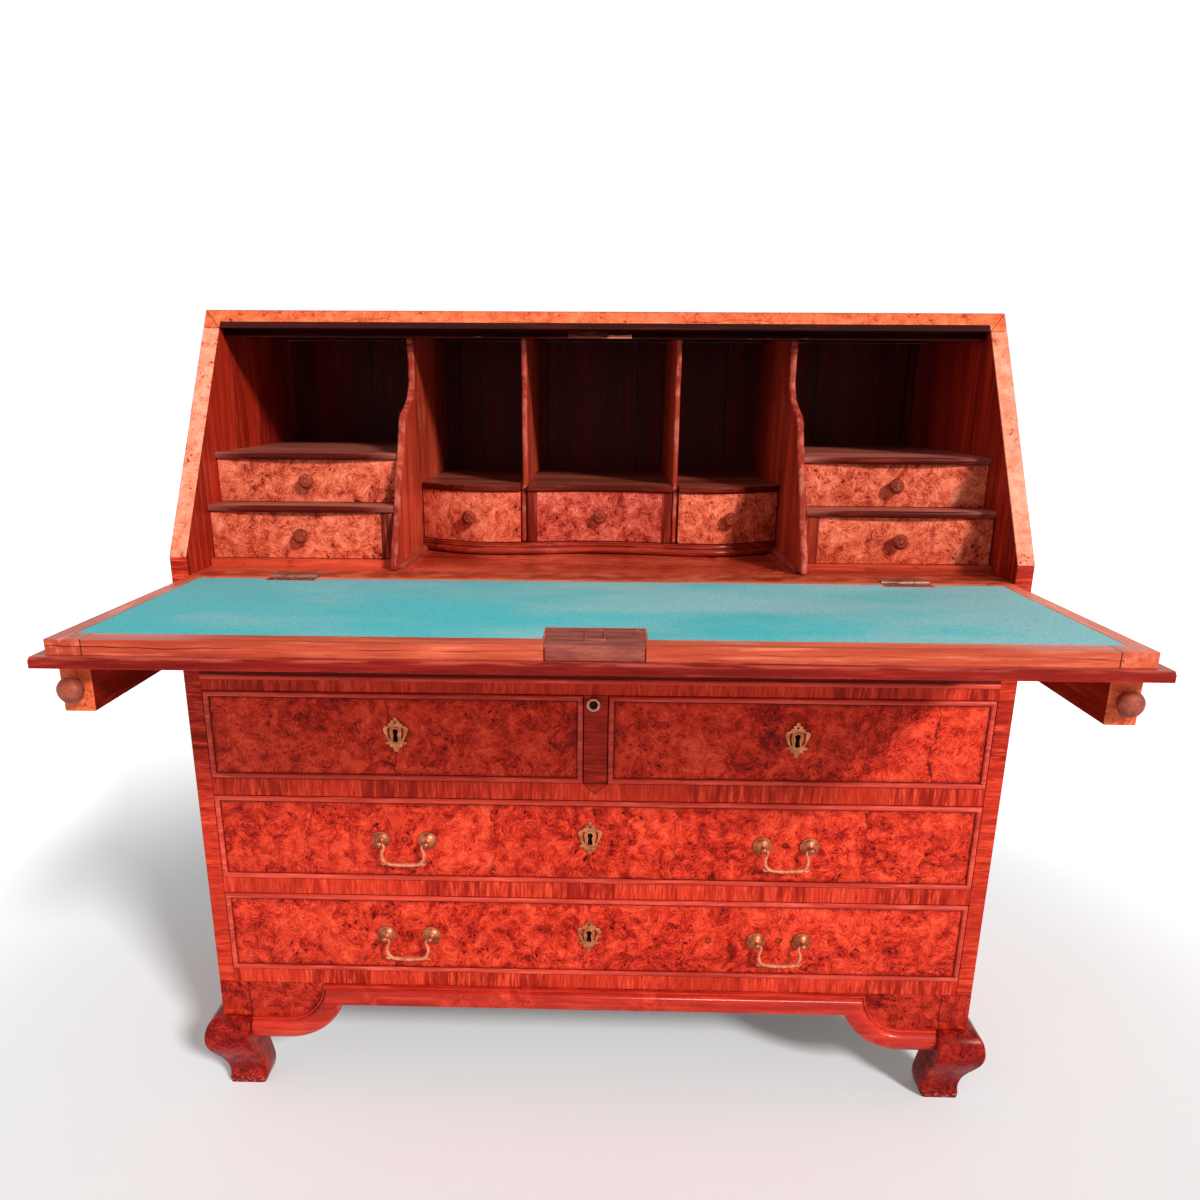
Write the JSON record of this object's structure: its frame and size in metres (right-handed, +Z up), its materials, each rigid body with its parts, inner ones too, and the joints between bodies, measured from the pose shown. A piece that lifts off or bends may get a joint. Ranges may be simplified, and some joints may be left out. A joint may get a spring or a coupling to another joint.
{
  "type": "slant-front bureau",
  "caption": "Walnut slant-front bureau on ogee bracket feet: baize-lined fall open on pulled-out lopers, fitted interior of pigeonholes and small drawers over long and short drawers.",
  "frame": {"origin": "on the floor, under the centre of the bureau's bounding box with its fall open", "axes": "+Z up, -Y towards the person who writes at it, +X to that person's right"},
  "size_m": [1.0456, 0.851, 1.006],
  "materials": {
    "burl_walnut": "polished burl veneer",
    "orange_walnut": "polished veneer",
    "straight_walnut": "waxed straight grain",
    "inner_walnut": "waxed",
    "baize": "woollen baize",
    "brass": "old lacquered brass",
    "iron": "old dark iron"
  },
  "bodies": {
    "carcase": {"back_panel": "straight_walnut", "base_frame": "burl_walnut", "bottom_board": "inner_walnut", "centre_plinth": "inner_walnut", "centre_shelf": "inner_walnut", "drawer_divider": "inner_walnut", "dust_board_lower": "inner_walnut", "dust_board_middle": "inner_walnut", "foot_front_left": "burl_walnut", "foot_front_right": "burl_walnut", "foot_rear_left": "burl_walnut", "foot_rear_right": "burl_walnut", "hinge_left_bed_leaf": "brass", "hinge_right_bed_leaf": "brass", "partition_left": "inner_walnut", "partition_right": "inner_walnut", "pigeonhole_divider_left": "inner_walnut", "pigeonhole_divider_right": "inner_walnut", "shelf_lower_left": "inner_walnut", "shelf_lower_right": "inner_walnut", "shelf_upper_left": "inner_walnut", "shelf_upper_right": "inner_walnut", "side_left": "straight_walnut", "side_right": "straight_walnut", "top_board": "orange_walnut", "well_tray": "burl_walnut", "writing_bed": "inner_walnut"},
    "fall": {"fall_panel": "burl_walnut", "writing_felt": "baize", "fall_lock": "iron", "hinge_left_fall_leaf": "brass", "hinge_right_fall_leaf": "brass"},
    "loper_left": {"loper_left": "orange_walnut", "loper_knob_left": "brass"},
    "loper_right": {"loper_right": "orange_walnut", "loper_knob_right": "brass"},
    "short_drawer_left": {"short_drawer_left": "burl_walnut"},
    "short_drawer_right": {"short_drawer_right": "burl_walnut"},
    "middle_drawer": {"middle_drawer": "burl_walnut", "handle_middle_left_post_left": "brass", "handle_middle_left_post_right": "brass", "handle_middle_right_post_left": "brass", "handle_middle_right_post_right": "brass"},
    "bottom_drawer": {"bottom_drawer": "burl_walnut", "handle_bottom_left_post_left": "brass", "handle_bottom_left_post_right": "brass", "handle_bottom_right_post_left": "brass", "handle_bottom_right_post_right": "brass"},
    "bail_middle_left": {"bail_middle_left": "brass"},
    "bail_middle_right": {"bail_middle_right": "brass"},
    "bail_bottom_left": {"bail_bottom_left": "brass"},
    "bail_bottom_right": {"bail_bottom_right": "brass"},
    "inner_drawer_lower_left": {"inner_drawer_lower_left": "inner_walnut"},
    "inner_drawer_lower_right": {"inner_drawer_lower_right": "inner_walnut"},
    "inner_drawer_upper_left": {"inner_drawer_upper_left": "inner_walnut"},
    "inner_drawer_upper_right": {"inner_drawer_upper_right": "inner_walnut"},
    "inner_drawer_centre_left": {"inner_drawer_centre_left": "inner_walnut"},
    "inner_drawer_centre": {"inner_drawer_centre": "inner_walnut"},
    "inner_drawer_centre_right": {"inner_drawer_centre_right": "inner_walnut"},
    "well_slide": {"well_slide": "inner_walnut"}
  },
  "joints": [
    {"name": "fall_hinge", "type": "hinge", "parent": "carcase", "child": "fall", "pos_m": [0, -0.0795, 0.704], "axis": [1, 0, 0], "range_deg": [-125.8, 0]},
    {"name": "loper_left_slide", "type": "slide", "parent": "carcase", "child": "loper_left", "axis": [0, -1, 0], "range_m": [-0.318, 0]},
    {"name": "loper_right_slide", "type": "slide", "parent": "carcase", "child": "loper_right", "axis": [0, -1, 0], "range_m": [-0.318, 0]},
    {"name": "short_drawer_left_slide", "type": "slide", "parent": "carcase", "child": "short_drawer_left", "axis": [0, -1, 0], "range_m": [0, 0.3]},
    {"name": "short_drawer_right_slide", "type": "slide", "parent": "carcase", "child": "short_drawer_right", "axis": [0, -1, 0], "range_m": [0, 0.3]},
    {"name": "middle_drawer_slide", "type": "slide", "parent": "carcase", "child": "middle_drawer", "axis": [0, -1, 0], "range_m": [0, 0.3]},
    {"name": "bottom_drawer_slide", "type": "slide", "parent": "carcase", "child": "bottom_drawer", "axis": [0, -1, 0], "range_m": [0, 0.3]},
    {"name": "bail_middle_left_swing", "type": "hinge", "parent": "middle_drawer", "child": "bail_middle_left", "pos_m": [-0.241, -0.0945, 0.37125], "axis": [-1, 0, 0], "range_deg": [0, 95]},
    {"name": "bail_middle_right_swing", "type": "hinge", "parent": "middle_drawer", "child": "bail_middle_right", "pos_m": [0.241, -0.0945, 0.37125], "axis": [-1, 0, 0], "range_deg": [0, 95]},
    {"name": "bail_bottom_left_swing", "type": "hinge", "parent": "bottom_drawer", "child": "bail_bottom_left", "pos_m": [-0.241, -0.0945, 0.2364], "axis": [-1, 0, 0], "range_deg": [0, 95]},
    {"name": "bail_bottom_right_swing", "type": "hinge", "parent": "bottom_drawer", "child": "bail_bottom_right", "pos_m": [0.241, -0.0945, 0.2364], "axis": [-1, 0, 0], "range_deg": [0, 95]},
    {"name": "inner_drawer_lower_left_slide", "type": "slide", "parent": "carcase", "child": "inner_drawer_lower_left", "axis": [0, -1, 0], "range_m": [0, 0.25]},
    {"name": "inner_drawer_lower_right_slide", "type": "slide", "parent": "carcase", "child": "inner_drawer_lower_right", "axis": [0, -1, 0], "range_m": [0, 0.25]},
    {"name": "inner_drawer_upper_left_slide", "type": "slide", "parent": "carcase", "child": "inner_drawer_upper_left", "axis": [0, -1, 0], "range_m": [0, 0.25]},
    {"name": "inner_drawer_upper_right_slide", "type": "slide", "parent": "carcase", "child": "inner_drawer_upper_right", "axis": [0, -1, 0], "range_m": [0, 0.25]},
    {"name": "inner_drawer_centre_left_slide", "type": "slide", "parent": "carcase", "child": "inner_drawer_centre_left", "axis": [0, -1, 0], "range_m": [0, 0.17]},
    {"name": "inner_drawer_centre_slide", "type": "slide", "parent": "carcase", "child": "inner_drawer_centre", "axis": [0, -1, 0], "range_m": [0, 0.17]},
    {"name": "inner_drawer_centre_right_slide", "type": "slide", "parent": "carcase", "child": "inner_drawer_centre_right", "axis": [0, -1, 0], "range_m": [0, 0.17]},
    {"name": "well_slide_slide", "type": "slide", "parent": "carcase", "child": "well_slide", "axis": [0, 1, 0], "range_m": [0, 0.16]}
  ]
}
